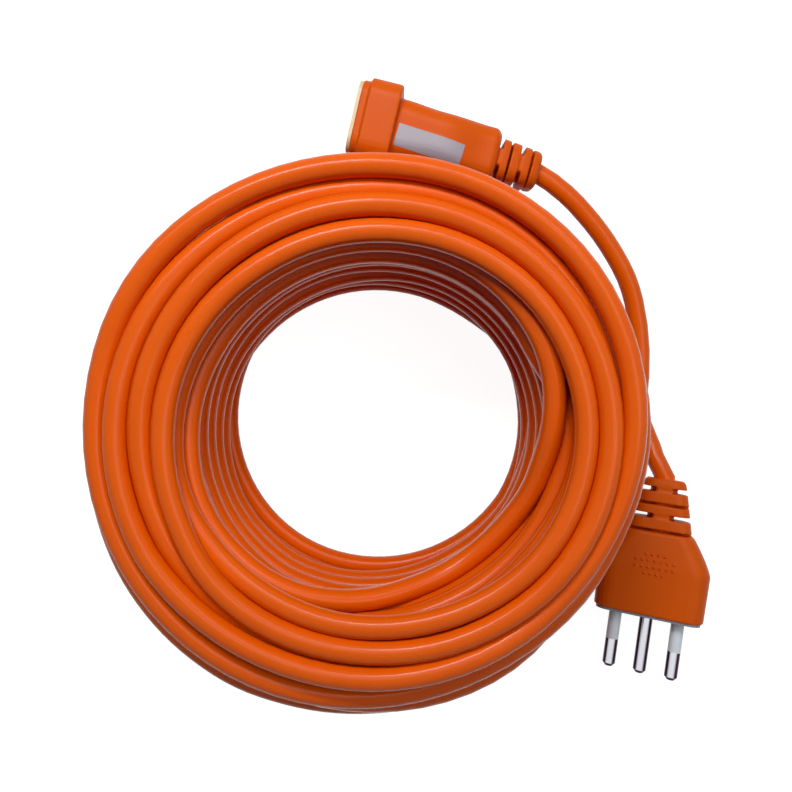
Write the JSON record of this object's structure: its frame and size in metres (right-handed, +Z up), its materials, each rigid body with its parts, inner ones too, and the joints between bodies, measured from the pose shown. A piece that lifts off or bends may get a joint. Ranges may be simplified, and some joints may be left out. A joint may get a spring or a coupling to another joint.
{
  "type": "extension cord",
  "caption": "Coiled round mains extension cord with a moulded in-line three-pin plug and a matching moulded socket with a sprung safety shutter.",
  "frame": {"origin": "on the surface the cord lies on, under the middle of the whole object's bounding box", "axes": "+Z up, out of the surface; the coil lies flat in XY, the socket at its +Y side and the plug at its +X -Y corner, with the pins pointing roughly along -Y"},
  "size_m": [0.2031, 0.2013, 0.073],
  "materials": {
    "cord_pvc": "glossy extruded PVC",
    "moulded_pvc": "satin moulded PVC",
    "plug_plate": "satin",
    "socket_plate": "satin",
    "nickel_pin": "bright nickel plate",
    "white_sleeve": "smooth",
    "brown_core": "smooth",
    "blue_core": "smooth",
    "green_yellow_core": "smooth",
    "dark_block": "satin",
    "ivory_shutter": "satin",
    "spring_steel": "drawn wire",
    "contact_brass": "stamped"
  },
  "bodies": {
    "cord_set": {"cord_coil": "cord_pvc", "socket_tail": "cord_pvc", "plug_tail": "cord_pvc", "plug_overmould": "moulded_pvc", "plug_face": "plug_plate", "line_pin": "nickel_pin", "neutral_pin": "nickel_pin", "earth_pin": "nickel_pin", "line_pin_sleeve": "white_sleeve", "neutral_pin_sleeve": "white_sleeve", "plug_line_core": "brown_core", "plug_neutral_core": "blue_core", "plug_earth_core": "green_yellow_core", "socket_overmould": "moulded_pvc", "socket_face": "socket_plate", "contact_block": "dark_block", "shutter_spring": "spring_steel", "line_contact": "contact_brass", "neutral_contact": "contact_brass", "earth_contact": "contact_brass", "socket_line_core": "brown_core", "socket_neutral_core": "blue_core", "socket_earth_core": "green_yellow_core"},
    "shutter_body": {"shutter": "ivory_shutter"}
  },
  "joints": [
    {"name": "shutter_slide", "type": "slide", "parent": "cord_set", "child": "shutter_body", "axis": [-0.0337, -0.135, 0.9903], "range_m": [0, 0.0046], "stiffness_N_per_m": 30, "springref_m": -0.002, "deforming": ["shutter_spring"]}
  ]
}
